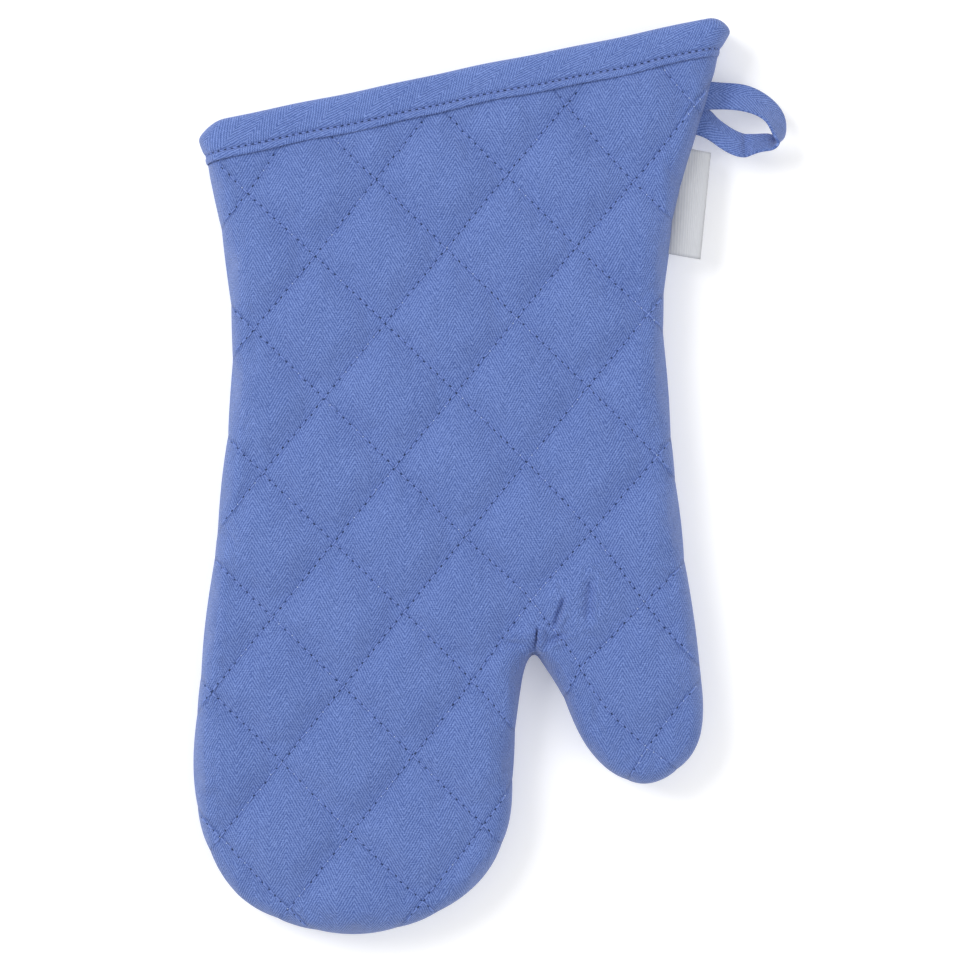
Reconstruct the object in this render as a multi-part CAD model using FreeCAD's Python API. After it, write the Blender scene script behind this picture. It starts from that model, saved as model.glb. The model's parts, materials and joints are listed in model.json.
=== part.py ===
"""Quilted cotton oven mitt, lying flat and empty.

Millimetres, +Z up. The cuff points to +Y, the finger pocket to -Y, and the thumb, the hanging
loop and the side label are on the +X side. The origin is the centre of the bounding box in X and
Y, at the surface that the mitt lies on.

Two mirrored panels, front (up) and back (down), are each a sandwich of outer shell, batting and
lining. Both meet on the middle plane along the side seam, and a U-shaped binding closes the cuff
around the sandwich. The finger pocket and the thumb bend on hinge lines, where V-shaped gaps leave
room for the bend. The hanging loop and the label turn about the side seam that holds them.
"""
import math
import os

import FreeCAD
import Part

Vector = FreeCAD.Vector

# ---- overall sizes ----
THICKNESS = 24.0
MID_Z = THICKNESS / 2
EDGE_ROUND = 9.0
REACH = 400.0  # longer than the mitt, for cutting tools

# ---- depths below the outer surface, where each layer starts or ends ----
SHELL_END = 1.2
BATTING_END = 4.0
LINING_END = 5.0
# under the cuff binding, which presses the sandwich thinner
BINDING_OUTER_END = 1.0
BOUND_SHELL_END = 2.0
BOUND_BATTING_END = 3.0
BOUND_LINING_END = 4.0

# ---- cuff ----
CUFF_CENTRE_Y = 148.3
CUFF_SLOPE_DEG = 11.5
BINDING_WIDTH = 14.0
BINDING_RIM = 1.2
STEP_WIDTH = 1.0
TOPSTITCH_OFFSET = 2.2

# ---- outline of the mitt, anticlockwise from the cuff's left end ----
CUFF_LEFT_SIDE = [(-107, 146), (-104, 123), (-99, 98)]
LEFT_SIDE = [(-94.5, 67), (-93, 35), (-96, -3), (-101.5, -45), (-106, -85)]
FINGER_TIP = [(-106.5, -116), (-95, -147), (-54, -165), (-14, -155), (5, -132)]
FINGER_RIGHT_SIDE = [(9, -105), (11, -80)]
CROTCH = [(13, -69.5), (16.2, -65.2), (20.5, -69)]
THUMB = [(26, -80.5), (35, -98), (54, -110.7), (71, -103), (77, -82)]
RIGHT_SIDE = [(73.5, -48), (68.5, -5), (63.5, 42), (63, 75), (68, 104), (76, 129), (84, 155)]
BEYOND_CUFF = [(85, 180), (60, 200), (-80, 180), (-103, 168)]
OUTLINE = (CUFF_LEFT_SIDE + LEFT_SIDE + FINGER_TIP + FINGER_RIGHT_SIDE + CROTCH
           + THUMB + RIGHT_SIDE + BEYOND_CUFF)
STATIONS_PER_SPAN = 3
ROUND_LEVELS = 4

# ---- bending lines ----
FINGER_HINGE_Y = -84.0
FINGER_RANGE_DEG = 60.0
THUMB_HINGE_POINT = (24.0, -80.0)
THUMB_HINGE_SLOPE_DEG = 28.0
THUMB_RANGE_DEG = 50.0
HINGE_WAIST = 0.8
RANGE_MARGIN_DEG = 2.0
POCKET_DIVIDE_X = 16.5  # runs down the space between the finger pocket and the thumb

# ---- quilting: two sets of slanting lines ----
QUILT_ANCHOR = (-12.1, 29.8)
QUILT_SETS = [(-44.3, 34.4), (50.8, 35.3)]  # slope in degrees, spacing
QUILT_LINES_EACH_WAY = 7
QUILT_THREAD_WIDTH = 1.0
THREAD_DEPTH = 0.4
FLAT_INSET = EDGE_ROUND + 0.4

# ---- side seam thread, inside the edge on the middle plane ----
SEAM_THREAD_INSET = 1.6
SEAM_THREAD_SIZE = 0.8

# ---- hanging loop ----
LOOP_TAPE_THICKNESS = 3.0
LOOP_ROOT = [(75.5, 122.5), (82.5, 141.5)]
LOOP_OUTSIDE = [(82.5, 141.8), (92, 141.2), (100.5, 137.5), (105.8, 131.5), (107, 125.2),
                (103.5, 118.2), (92, 114.2), (83, 117.6), (75.5, 122.5)]
LOOP_EYE = [(81, 130.6), (88, 131.6), (95, 129.5), (100.8, 123.8), (95, 123.3), (88, 124.9)]

# ---- side label, a folded tab ----
LABEL_THICKNESS = 1.2
LABEL_ROOT = [(66.0, 79.7), (72.8, 118.0)]
LABEL_FREE_EDGE = [(79.0, 116.8), (74.7, 78.6)]


def direction(degrees):
    """Unit vector in the plane of the mitt, at an angle from +X."""
    return Vector(math.cos(math.radians(degrees)), math.sin(math.radians(degrees)), 0)


def flat_points(pairs, height=0.0):
    return [Vector(x, y, height) for x, y in pairs]


def closed_curve(points, parameters=None):
    curve = Part.BSplineCurve()
    if parameters is None:
        curve.interpolate(Points=points, PeriodicFlag=True)
    else:
        curve.interpolate(Points=points, PeriodicFlag=True, Parameters=parameters)
    return curve


def prism(points, extrusion):
    """Solid with a polygon section, pushed along a vector."""
    return Part.Face(Part.makePolygon(points + points[:1])).extrude(extrusion)


# ---- the stack of nested forms ----

def outline_stations():
    """Points, inward normals and parameters along the outline, denser where its points are."""
    base = closed_curve(flat_points(OUTLINE))
    knots = base.getKnots()
    stations = []
    for start, end in zip(knots, knots[1:]):
        for step in range(STATIONS_PER_SPAN):
            parameter = start + (end - start) * step / STATIONS_PER_SPAN
            tangent = base.tangent(parameter)[0]
            inward = Vector(-tangent.y, tangent.x, 0)
            stations.append((base.value(parameter), inward, parameter))
    return stations, knots[-1]


STATIONS, LAST_PARAMETER = outline_stations()


def inset_wire(inset, height):
    points = [p + inward * inset + Vector(0, 0, height) for p, inward, _ in STATIONS]
    parameters = [parameter for _, _, parameter in STATIONS] + [LAST_PARAMETER]
    return Part.Wire([closed_curve(points, parameters).toShape()])


def half_form(depth):
    """Upper half of the mitt's form, shrunk by a depth below the outer surface."""
    radius = EDGE_ROUND - depth
    wires = [inset_wire(depth, MID_Z)]
    for level in range(ROUND_LEVELS + 1):
        angle = math.radians(90 * level / ROUND_LEVELS)
        inset = EDGE_ROUND - radius * math.cos(angle)
        height = THICKNESS - EDGE_ROUND + radius * math.sin(angle)
        wires.append(inset_wire(inset, height))
    return Part.makeLoft(wires, True, False)


FORMS = {depth: half_form(depth) for depth in (0.0, THREAD_DEPTH, SHELL_END, BATTING_END, LINING_END,
                                               BINDING_OUTER_END, BOUND_SHELL_END,
                                               BOUND_BATTING_END)}


def between(outer_depth, inner_depth):
    """Tray between two nested forms, in the upper half."""
    return FORMS[outer_depth].cut(FORMS[inner_depth])


def cuff_slab(lowest, highest):
    """Slab across the mitt, given by two distances below the cuff's edge."""
    along = direction(CUFF_SLOPE_DEG)
    up = direction(CUFF_SLOPE_DEG + 90)
    centre = Vector(0, CUFF_CENTRE_Y, -REACH / 2)
    corners = [centre + along * side * REACH - up * distance
               for side, distance in ((-1, lowest), (1, lowest), (1, highest), (-1, highest))]
    return prism(corners, Vector(0, 0, REACH))


BODY_REGION = cuff_slab(REACH, BINDING_WIDTH + STEP_WIDTH)
STEP_REGION = cuff_slab(BINDING_WIDTH + STEP_WIDTH, BINDING_WIDTH)
BOUND_REGION = cuff_slab(BINDING_WIDTH, BINDING_RIM)
RIM_REGION = cuff_slab(BINDING_RIM, 0)


def mirrored(shape):
    """The same shape below the middle plane."""
    return shape.mirror(Vector(0, 0, MID_Z), Vector(0, 0, 1))


def layer(body, step, bound):
    """One layer of the front panel: its depths in the body, at the step and under the binding."""
    pieces = [between(*body).common(BODY_REGION),
              between(*step).common(STEP_REGION),
              between(*bound).common(BOUND_REGION)]
    return pieces[0].fuse(pieces[1:])


# ---- cutting the panels at the bending lines ----

def bend_side(hinge_point, slope_deg, gap_sign, range_deg, x_from, x_to):
    """Everything past a hinge line, on its far side, with the V-shaped gap on one side of it."""
    along = direction(slope_deg)
    away = direction(slope_deg - 90)
    flare = math.tan(math.radians(range_deg / 2 + RANGE_MARGIN_DEG)) * THICKNESS
    waist = HINGE_WAIST / 2
    start = Vector(hinge_point[0], hinge_point[1], MID_Z) - along * REACH / 2
    section = [(gap_sign * waist, 0), (gap_sign * (waist + flare), THICKNESS), (REACH, THICKNESS),
               (REACH, -THICKNESS), (gap_sign * (waist + flare), -THICKNESS)]
    points = [start + away * distance + Vector(0, 0, height) for distance, height in section]
    side = prism(points, along * REACH)
    pocket = Part.makeBox(x_to - x_from, REACH, REACH, Vector(x_from, -REACH / 2, -REACH / 2))
    return side.common(pocket)


def finger_side(gap_sign):
    return bend_side((0, FINGER_HINGE_Y), 0, gap_sign, FINGER_RANGE_DEG, -REACH / 2, POCKET_DIVIDE_X)


def thumb_side(gap_sign):
    return bend_side(THUMB_HINGE_POINT, THUMB_HINGE_SLOPE_DEG, gap_sign, THUMB_RANGE_DEG,
                     POCKET_DIVIDE_X, REACH / 2)


FINGER_KEEP = finger_side(1)
FINGER_CLEAR = finger_side(-1)
THUMB_KEEP = thumb_side(1)
THUMB_CLEAR = thumb_side(-1)


def split_at_bends(shape):
    """The hand, finger and thumb shares of a layer or a thread."""
    return {"hand": shape.cut(FINGER_CLEAR).cut(THUMB_CLEAR),
            "fingers": shape.common(FINGER_KEEP),
            "thumb": shape.common(THUMB_KEEP)}


# ---- threads ----

def quilting_lines():
    """Slabs through the whole mitt, along both sets of quilting lines."""
    slabs = []
    anchor = Vector(QUILT_ANCHOR[0], QUILT_ANCHOR[1], 0)
    for slope, spacing in QUILT_SETS:
        for number in range(-QUILT_LINES_EACH_WAY, QUILT_LINES_EACH_WAY + 1):
            slab = Part.makeBox(REACH, QUILT_THREAD_WIDTH, THICKNESS,
                                Vector(-REACH / 2, -QUILT_THREAD_WIDTH / 2, 0))
            slab.rotate(Vector(0, 0, 0), Vector(0, 0, 1), slope)
            slab.translate(anchor + direction(slope + 90) * spacing * number)
            slabs.append(slab)
    return slabs[0].fuse(slabs[1:])


def quilting_thread():
    """Thread on the front panel's flat face, sunk level with the shell's surface."""
    face = Part.Face(inset_wire(FLAT_INSET, THICKNESS - THREAD_DEPTH))
    face_skin = face.extrude(Vector(0, 0, THREAD_DEPTH)).common(BODY_REGION)
    return face_skin.common(quilting_lines())


def side_seam_thread():
    """Thread along the side seam, half in the front panel and half in the back one."""
    low = MID_Z - SEAM_THREAD_SIZE / 2
    outside = Part.Face(inset_wire(SEAM_THREAD_INSET, low))
    inside = Part.Face(inset_wire(SEAM_THREAD_INSET + SEAM_THREAD_SIZE, low))
    rise = Vector(0, 0, SEAM_THREAD_SIZE)
    return outside.extrude(rise).cut(inside.extrude(rise)).common(BODY_REGION)


def binding_thread():
    """Topstitching around both faces of the binding, near its lower edge."""
    middle = BINDING_WIDTH - TOPSTITCH_OFFSET
    line = cuff_slab(middle + THREAD_DEPTH, middle - THREAD_DEPTH)
    front = between(0.0, THREAD_DEPTH).common(line)
    return front.fuse(mirrored(front))


# ---- tape and label ----

def turning_tab(outline_face, root, thickness):
    """Flat tab on the middle plane, with a rounded root that turns about the seam."""
    start, end = flat_points(root, MID_Z)
    tab = outline_face.extrude(Vector(0, 0, thickness))
    hinge = Part.makeCylinder(thickness / 2, (end - start).Length, start, end - start)
    return tab.fuse(hinge)


def hanging_loop():
    low = MID_Z - LOOP_TAPE_THICKNESS / 2
    outside = Part.BSplineCurve()
    outside.interpolate(Points=flat_points(LOOP_OUTSIDE, low))
    root_edge = Part.LineSegment(outside.EndPoint, outside.StartPoint)
    outer_face = Part.Face(Part.Wire([outside.toShape(), root_edge.toShape()]))
    eye_face = Part.Face(Part.Wire([closed_curve(flat_points(LOOP_EYE, low)).toShape()]))
    return turning_tab(outer_face.cut(eye_face), LOOP_ROOT, LOOP_TAPE_THICKNESS)


def side_label():
    corners = flat_points(LABEL_ROOT + LABEL_FREE_EDGE, MID_Z - LABEL_THICKNESS / 2)
    face = Part.Face(Part.makePolygon(corners + corners[:1]))
    return turning_tab(face, LABEL_ROOT, LABEL_THICKNESS)


# ---- assembly ----

def cuff_binding():
    """U-shaped tape around the raw edge of the cuff, outside and inside the opening."""
    outer = between(0.0, BINDING_OUTER_END).common(BOUND_REGION)
    inner = between(BOUND_LINING_END, LINING_END).common(BOUND_REGION)
    rim = between(0.0, LINING_END).common(RIM_REGION)
    front = outer.fuse([inner, rim])
    return front.fuse(mirrored(front))


def make_parts():
    layers = {
        "outer_shell": layer((0.0, SHELL_END), (0.0, BOUND_SHELL_END),
                             (BINDING_OUTER_END, BOUND_SHELL_END)),
        "batting": layer((SHELL_END, BATTING_END), (BOUND_SHELL_END, BOUND_BATTING_END),
                         (BOUND_SHELL_END, BOUND_BATTING_END)),
        "lining": layer((BATTING_END, LINING_END), (BOUND_BATTING_END, LINING_END),
                        (BOUND_BATTING_END, BOUND_LINING_END)),
    }
    thread = quilting_thread()
    seam = side_seam_thread()
    layers["outer_shell"] = layers["outer_shell"].cut(thread)
    layers["quilting_thread"] = thread
    parts = {}
    for name, front in layers.items():
        for side, panel in (("front", front), ("back", mirrored(front))):
            if name == "batting":
                panel = panel.cut(seam)
            for zone, piece in split_at_bends(panel).items():
                parts[f"{side}_{name}_{zone}"] = piece
    for zone, piece in split_at_bends(seam).items():
        parts[f"side_seam_thread_{zone}"] = piece
    topstitch = binding_thread()
    parts["cuff_binding"] = cuff_binding().cut(topstitch)
    parts["binding_topstitch"] = topstitch
    parts["hanging_loop"] = hanging_loop()
    parts["side_label"] = side_label()
    return parts


def main():
    os.makedirs("parts", exist_ok=True)
    for name, shape in make_parts().items():
        shape.exportStep(f"parts/{name}.step")
        box = shape.BoundBox
        print(f"{name}: {len(shape.Solids)} solids, {shape.Volume / 1000:.2f} cm3, "
              f"valid {shape.isValid()}, x {box.XMin:.2f} to {box.XMax:.2f}, "
              f"y {box.YMin:.2f} to {box.YMax:.2f}, z {box.ZMin:.2f} to {box.ZMax:.2f}")


main()
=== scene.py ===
import json
import math

import bmesh
import bpy
import numpy as np
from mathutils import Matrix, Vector
from mathutils.bvhtree import BVHTree
from mathutils.geometry import delaunay_2d_cdt
from mathutils.kdtree import KDTree


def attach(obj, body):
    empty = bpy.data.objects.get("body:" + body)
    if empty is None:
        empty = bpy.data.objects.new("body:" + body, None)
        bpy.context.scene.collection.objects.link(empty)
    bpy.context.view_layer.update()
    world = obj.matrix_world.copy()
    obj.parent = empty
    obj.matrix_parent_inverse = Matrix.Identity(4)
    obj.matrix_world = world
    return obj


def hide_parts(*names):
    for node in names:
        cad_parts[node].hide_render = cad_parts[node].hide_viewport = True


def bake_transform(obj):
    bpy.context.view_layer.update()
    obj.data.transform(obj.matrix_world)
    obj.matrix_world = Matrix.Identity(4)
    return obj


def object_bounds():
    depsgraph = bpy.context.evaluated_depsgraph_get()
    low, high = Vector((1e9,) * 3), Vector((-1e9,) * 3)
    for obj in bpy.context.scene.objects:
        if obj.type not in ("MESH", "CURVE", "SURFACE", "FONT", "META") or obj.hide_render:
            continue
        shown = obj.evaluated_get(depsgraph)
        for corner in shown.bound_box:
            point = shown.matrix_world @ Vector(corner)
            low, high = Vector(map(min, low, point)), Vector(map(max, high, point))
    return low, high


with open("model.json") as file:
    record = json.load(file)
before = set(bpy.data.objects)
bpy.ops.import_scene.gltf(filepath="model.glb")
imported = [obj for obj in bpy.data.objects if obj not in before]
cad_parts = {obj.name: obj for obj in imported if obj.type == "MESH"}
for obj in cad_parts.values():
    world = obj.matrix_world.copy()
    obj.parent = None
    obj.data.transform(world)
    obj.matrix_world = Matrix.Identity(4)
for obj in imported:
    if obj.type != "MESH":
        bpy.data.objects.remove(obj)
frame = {"record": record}
CAD_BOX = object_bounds()

# The model is worked out in millimetres, in the frame's axes, and turned into metres when a mesh is
# made. Places with two numbers are in the plan, seen from above.
MM = 0.001
THICKNESS = CAD_BOX[1].z / MM
MID = THICKNESS / 2

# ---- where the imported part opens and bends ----
MOUNTS = {mount["name"]: mount for mount in frame["record"]["mounts"]}
JOINTS = {joint["name"]: joint for joint in frame["record"]["behaviour"]["joints"]}
CUFF_CENTRE = np.array(MOUNTS["hand_opening"]["pos_m"][:2]) / MM
CUFF_UP = np.array(MOUNTS["hand_opening"]["axis"][:2])
CUFF_ALONG = np.array((CUFF_UP[1], -CUFF_UP[0]))
THUMB_HINGE = np.array(JOINTS["thumb_bend"]["pos_m"][:2]) / MM
THUMB_ALONG = np.array(JOINTS["thumb_bend"]["axis"][:2])
THUMB_AWAY = np.array((THUMB_ALONG[1], -THUMB_ALONG[0]))
LABEL_ROOT = np.array(JOINTS["label_flap"]["pos_m"][:2]) / MM
LABEL_ALONG = np.array(JOINTS["label_flap"]["axis"][:2])

# ---- the mitt's form: nested rounded forms, each a depth below the outer surface ----
EDGE_ROUND = 9.0
ROUNDNESS = 2.4
SEAM_DEPTH = 0.1
VALLEY_DEPTH = 2.7
PUFF_START_DEPTH = 1.5
BOUND_DEPTH = 1.5
LINING_DEPTH = 4.1
LINING_PUFF = 0.9
BATTING_TOP = 1.1
BATTING_BOTTOM = 3.9
SHELL_CLOTH = 0.8
LINING_CLOTH = 0.5
LOFT_LIMIT = 0.8  # how far the swollen front may rise above the CAD part
REST_START = 1.2  # below this height the table presses the back flat
REST_PRESS = 0.9

# ---- outline, anticlockwise from the cuff's left end, within 1.5 mm of the CAD part's ----
OUTLINE = [(-107, 146), (-104, 121), (-99.8, 101),
           (-95.2, 74), (-93.4, 45), (-94.2, 25), (-97, -3), (-101.7, -45), (-105.4, -77),
           (-107, -108), (-103.2, -131), (-88, -153), (-53, -165.2), (-17.5, -157), (5.6, -131),
           (9, -107), (10.5, -83), (12.0, -71.6), (13.5, -66.8), (15.8, -63.9), (18.2, -66.6),
           (21.6, -72), (25.8, -80), (35.2, -98), (54, -111.2), (71.5, -102.5), (77.2, -82),
           (73.7, -51), (68.4, -10), (64.4, 31), (63.2, 62), (65.6, 86), (69.6, 107),
           (77.2, 130), (82.4, 150), (85.4, 166), (85, 180), (60, 200), (-80, 180), (-103, 168)]
CROTCH = np.array((16.2, -65.2))
POCKET_DIVIDE_X = 16.4
CURVE_SAMPLES = 6000
SEAM_STEP = 0.4
SEAM_PAST_CUFF = 15

# ---- quilting ----
QUILT_ANCHOR = np.array((-12.1, 29.8))
QUILT_STEPS = np.array([(25.35, -24.75), (-21.85, -26.75)])
QUILT_SPACINGS = (35.3, 34.4)  # across the lines of each set
QUILT_REACH = 8  # squares each way from the anchor
NEAR_X, NEAR_Y = 115, 175  # no part of the mitt is farther out than this
# Places where the quilting is drawn aside as the panel is sewn: centre, reach, shift of the lines.
QUILT_DRIFTS = [((68, -76), 50, (-13.0, -1.2)), ((14, -50), 20, (1.2, 2.4)),
                ((66, 118), 42, (-2.5, -5.5)), ((-92, 100), 30, (1.5, -3.0)),
                ((-60, -150), 35, (-1.5, -1.5)), ((36.5, -68), 14, (0.2, 4.2))]
DRIFT_ROUNDS = 8
STITCH_PITCH = 3.2
LINE_STITCHES = 95  # each way from the middle of a line
LINE_INSET = 1.6  # the stitches stop this far inside the side seam
QUILT_THREAD = 0.5
END_NARROWING = 0.55
SEAM_THREAD = 0.4
SEAM_THREAD_INSET = 2.0
STITCH_WANDER = 0.12
HOLE_LENGTHS, HOLE_WIDTHS = (0.7, 1.6), (0.4, 0.7)
KNOT_SIZE = (0.7, 0.5)
# Along a stitch between its two needle holes: share of the way, height above the cloth.
STITCH_PATH = [(0.12, -0.22), (0.22, 0.02), (0.5, 0.12), (0.78, 0.02), (0.88, -0.22)]

# ---- places where the pale lower thread shows at many of the stitches: centre, reach ----
KNOTTED = [((52, -105), 14), ((68, -68), 12), ((16, -48), 9), ((-55, -120), 26),
           ((60, 70), 16), ((-90, 15), 14), ((72, 134), 15)]
KNOTS_ANYWHERE = 0.09
KNOTS_THERE = 0.55

# ---- folds above the crotch: ends, depth, half width ----
CREASES = [((15.6, -64.5), (17.2, -52.5), 2.2, 0.75), ((22.0, -56.0), (27.8, -41.0), 2.2, 0.95),
           ((34.6, -54), (36.4, -34), 2.3, 1.8), ((14.5, -60), (3.5, -60.5), 1.0, 1.5),
           ((18.0, -61.2), (28.5, -55), 1.2, 1.1)]
CREASE_STEP = 0.7
CREASE_RIDGE = 0.45  # height of the ridge beside a fold, as a share of its depth
# How far the layers below give way under a fold, as a share of its depth.
BATTING_GIVES = 0.6
LINING_GIVES = 1.6

# ---- mesh of a panel: steps, and least distances between points ----
CLOTH_STEP = 2.4
SHEET_TOP = 5.0  # the panel ends this far below the cuff's edge, inside the binding
TOP_CLEARANCE = 1.2
CELL_DIVISIONS = 14
SIDE_RINGS = 6
SCATTER_CELL = 3
LINE_APART = 0.5
CREASE_APART = 0.6
CELL_APART = 1.4
RING_SLIP = 0.15  # points of a ring that are farther off their inset than this are left out
QUAD_LIMIT = math.radians(50)

# ---- swelling of the quilted cells, worked out ten times enlarged ----
SIM_SCALE = 10
SIM_FRAMES = 24
SIM_SHAKE = 0.08  # a slight unevenness, so that the cloth doesn't swell alike everywhere
CLOTH_SETTINGS = {"quality": 5, "mass": 0.15, "tension_stiffness": 20, "compression_stiffness": 12,
                  "shear_stiffness": 8, "bending_stiffness": 0.6, "air_damping": 2.0,
                  "use_pressure": True, "uniform_pressure_force": 6, "shrink_min": -0.035,
                  "vertex_group_mass": "held"}
SEAM_PULL = 0.8
SEAM_PULL_REACH = 14

# ---- cuff binding ----
BINDING_WIDTH = 14.5
TOPSTITCH_AT = 11.9
TOPSTITCH_PITCH = 2.5
TOPSTITCH_THREAD = 0.54
TOPSTITCH_HOLE_LENGTHS, TOPSTITCH_HOLE_WIDTHS = (1.3, 2.3), (0.24, 0.44)
TOPSTITCH_PATH = [(0.2, -0.12), (0.34, 0.08), (0.5, 0.14), (0.66, 0.08), (0.8, -0.12)]
END_BULGE_LEFT = 1.0
END_BULGE_RIGHT = 1.9
END_DROP_LEFT = 2.4
END_DROP_RIGHT = 3.4
CUFF_SIDE_REACH = 40
CUFF_STATIONS = 90
CORNER_STATIONS = 10
# The tape's section: distance below the cuff's edge, depth below the surface, share of the wave.
BINDING_SECTION = [
    (13.6, 1.25, 1.0), (14.4, 1.1, 1.0), (14.75, 0.75, 1.0), (14.6, 0.35, 1.0), (14.0, 0.12, 1.0),
    (13.3, 0.1, 0.9), (12.7, 0.3, 0.8), (12.15, 0.9, 0.7), (11.9, 1.2, 0.7), (11.65, 0.9, 0.7),
    (11.1, 0.3, 0.6), (10.2, 0.15, 0.4), (8.0, 0.1, 0.2), (5.5, 0.1, 0.1), (3.7, 0.25, 0.3),
    (2.3, 0.75, 0.5), (1.4, 1.5, 0.5), (0.9, 2.3, 0.5), (0.8, 3.0, 0.5), (0.9, 3.7, 0.5),
    (1.3, 4.5, 0.5), (2.1, 5.0, 0.4), (4.5, 5.2, 0.2), (8.0, 5.25, 0.2), (11.4, 5.2, 0.3),
    (12.0, 4.85, 0.4), (12.6, 5.2, 0.5), (13.6, 5.2, 0.5), (14.2, 5.0, 0.5), (14.0, 4.7, 0.5),
    (12.0, 4.3, 0.2), (6.0, 4.2, 0.1), (2.8, 4.0, 0.2), (2.0, 3.0, 0.3), (2.6, 1.6, 0.2),
    (6.0, 1.25, 0.1), (11.0, 1.3, 0.3)]

# ---- hanging loop: the tape's two edges, from its root by the cuff round to the one by the label ----
LOOP_LOW_EDGE = [
    (75.5, 142.4, 12.2), (80.6, 142.0, 12.0), (84.0, 142.0, 9.8), (88.0, 141.7, 10.0),
    (91.8, 141.1, 10.6), (97.1, 139.1, 10.0), (102.6, 135.2, 9.0), (105.7, 131.2, 8.2),
    (106.8, 127.3, 7.8), (106.5, 123.8, 7.6), (105.5, 121.8, 7.6), (104.2, 121.4, 7.7),
    (102.6, 122.8, 8.1), (100.6, 123.5, 8.5), (98.0, 123.5, 8.8), (94.2, 123.4, 9.4),
    (90.5, 123.9, 9.6), (87.6, 125.2, 9.8), (84.6, 127.2, 9.7), (82.1, 129.2, 9.6),
    (80.0, 131.4, 9.8), (77.5, 133.0, 10.8), (73.5, 134.0, 11.0)]
LOOP_HIGH_EDGE = [
    (73.5, 130.5, 12.8), (78.0, 131.6, 12.6), (81.5, 132.0, 11.2), (86.0, 131.8, 12.6),
    (92.0, 130.8, 14.2), (96.8, 129.0, 15.0), (99.5, 126.6, 15.8), (101.0, 123.7, 16.4),
    (102.3, 121.3, 16.8), (103.3, 119.3, 16.6), (102.2, 117.8, 16.2), (99.4, 116.8, 15.6),
    (96.0, 116.1, 15.2), (91.6, 114.6, 15.0), (86.8, 115.6, 14.0), (82.0, 118.5, 13.0),
    (78.1, 121.2, 12.4), (72.5, 123.3, 11.9)]
LOOP_STATIONS, LOOP_COLUMNS = 110, 9
LOOP_TAPE_CLOTH = 1.3
LOOP_BULGE = 0.35
LOOP_FOLD_X, LOOP_FOLD_DEPTH, LOOP_FOLD_WIDTH = 92.0, 1.6, 1.1

# ---- side label ----
LABEL_LENGTH = 38.6
LABEL_REACH = 9.8  # past the seam, at the end next to the cuff
LABEL_NARROWS = 2.9
LABEL_IN_SEAM = 4.0
LABEL_ROWS, LABEL_COLUMNS = 30, 17
LABEL_PLY = 0.22
LABEL_GAP = 0.35
LABEL_CURL = 0.5
LABEL_SPREAD = 0.25

# ---- colours and weave ----
COTTON_DARK = (0.0617, 0.113, 0.339)
COTTON_LIGHT = (0.217, 0.317, 0.683)
# COTTON_BLUE is darkened to give the needle holes their painted shade.
COTTON_BLUE = (0.128, 0.205, 0.500)
LINING_BLUE = (0.16, 0.24, 0.52)
THREAD_BLUE = (0.16, 0.24, 0.56)
LOWER_THREAD_BLUE = (0.42, 0.52, 0.78)
HERRING_COLUMN = 6.0
HERRING_PITCH = 1.75
HERRING_STEEP = 1.75
WEFT_PITCH = 0.6
WARP_PITCH = 0.5
LINING_PITCH = 0.7
SATIN_PITCH = 0.6
# Half width of the creases along the stitched lines, for their relief and their painted shade.
CREASE_WIDTH = 1.1
PUCKER_REACH = 5.0

# ---- table, lights and camera, in metres and watts ----
TABLE_REACH = 2.0
TABLE_GLOW = 0.2
WORLD_LIGHT = 0.64
SOFTBOXES = [("key_softbox", (-1.1, 0.7, 1.3), 0.9, 19), ("fill_softbox", (1.2, -0.4, 1.5), 1.4, 9)]
VIEW_CENTRE = (-0.0036, -0.0014)
VIEW_WIDTH = 0.3456
LENS = 125.0
SENSOR = 36.0

ZONES = ("main", "thumb")  # each layer of cloth is in two pieces


# ======== curves and the outline

class Spline:
    """Smooth curve through points in any number of dimensions, measured by chord length."""

    def __init__(self, points, closed=False):
        through = np.array(points, float)
        if closed:
            through = np.vstack([through, through[:1]])
        gaps = np.linalg.norm(np.diff(through, axis=0), axis=1)
        slopes = np.diff(through, axis=0) / gaps[:, None]
        count = len(through)
        matrix = np.zeros((count, count))
        right = np.zeros_like(through)
        for i in range(1, count - 1):
            matrix[i, i - 1:i + 2] = gaps[i - 1], 2 * (gaps[i - 1] + gaps[i]), gaps[i]
            right[i] = 6 * (slopes[i] - slopes[i - 1])
        if closed:
            matrix[0, 0], matrix[0, -1] = 1, -1
            matrix[-1, 0], matrix[-1, 1] = 2 * gaps[0], gaps[0]
            matrix[-1, -2], matrix[-1, -1] = gaps[-1], 2 * gaps[-1]
            right[-1] = 6 * (slopes[0] - slopes[-1])
        else:
            matrix[0, 0] = matrix[-1, -1] = 1
        self.through = through
        self.bend = np.linalg.solve(matrix, right)
        self.knots = np.concatenate([[0], np.cumsum(gaps)])

    def at(self, where):
        where = np.asarray(where, float)
        i = np.clip(np.searchsorted(self.knots, where) - 1, 0, len(self.knots) - 2)
        gap = (self.knots[i + 1] - self.knots[i])[..., None]
        left = (self.knots[i + 1] - where)[..., None] / gap
        right = 1 - left
        curve = (left ** 3 - left) * self.bend[i] + (right ** 3 - right) * self.bend[i + 1]
        return left * self.through[i] + right * self.through[i + 1] + curve * gap ** 2 / 6


def lengths_along(points):
    """Distance along a polyline to each of its points."""
    return np.concatenate([[0], np.cumsum(np.linalg.norm(np.diff(points, axis=0), axis=1))])


def resample(points, step):
    """Points on a polyline, at equal distances of about a step, both ends included."""
    along = lengths_along(points)
    wanted = np.linspace(0, along[-1], max(2, round(along[-1] / step) + 1))
    return np.stack([np.interp(wanted, along, column) for column in points.T], axis=1)


def unit(rows):
    """Rows of vectors, each made one long."""
    return rows / np.linalg.norm(rows, axis=1)[:, None]


def smooth(x):
    """Rises gently from 0 to 1 as x does."""
    x = np.clip(x, 0, 1)
    return x * x * (3 - 2 * x)


def below_cuff(points):
    """Distance below the cuff's edge."""
    return (CUFF_CENTRE - points) @ CUFF_UP


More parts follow.
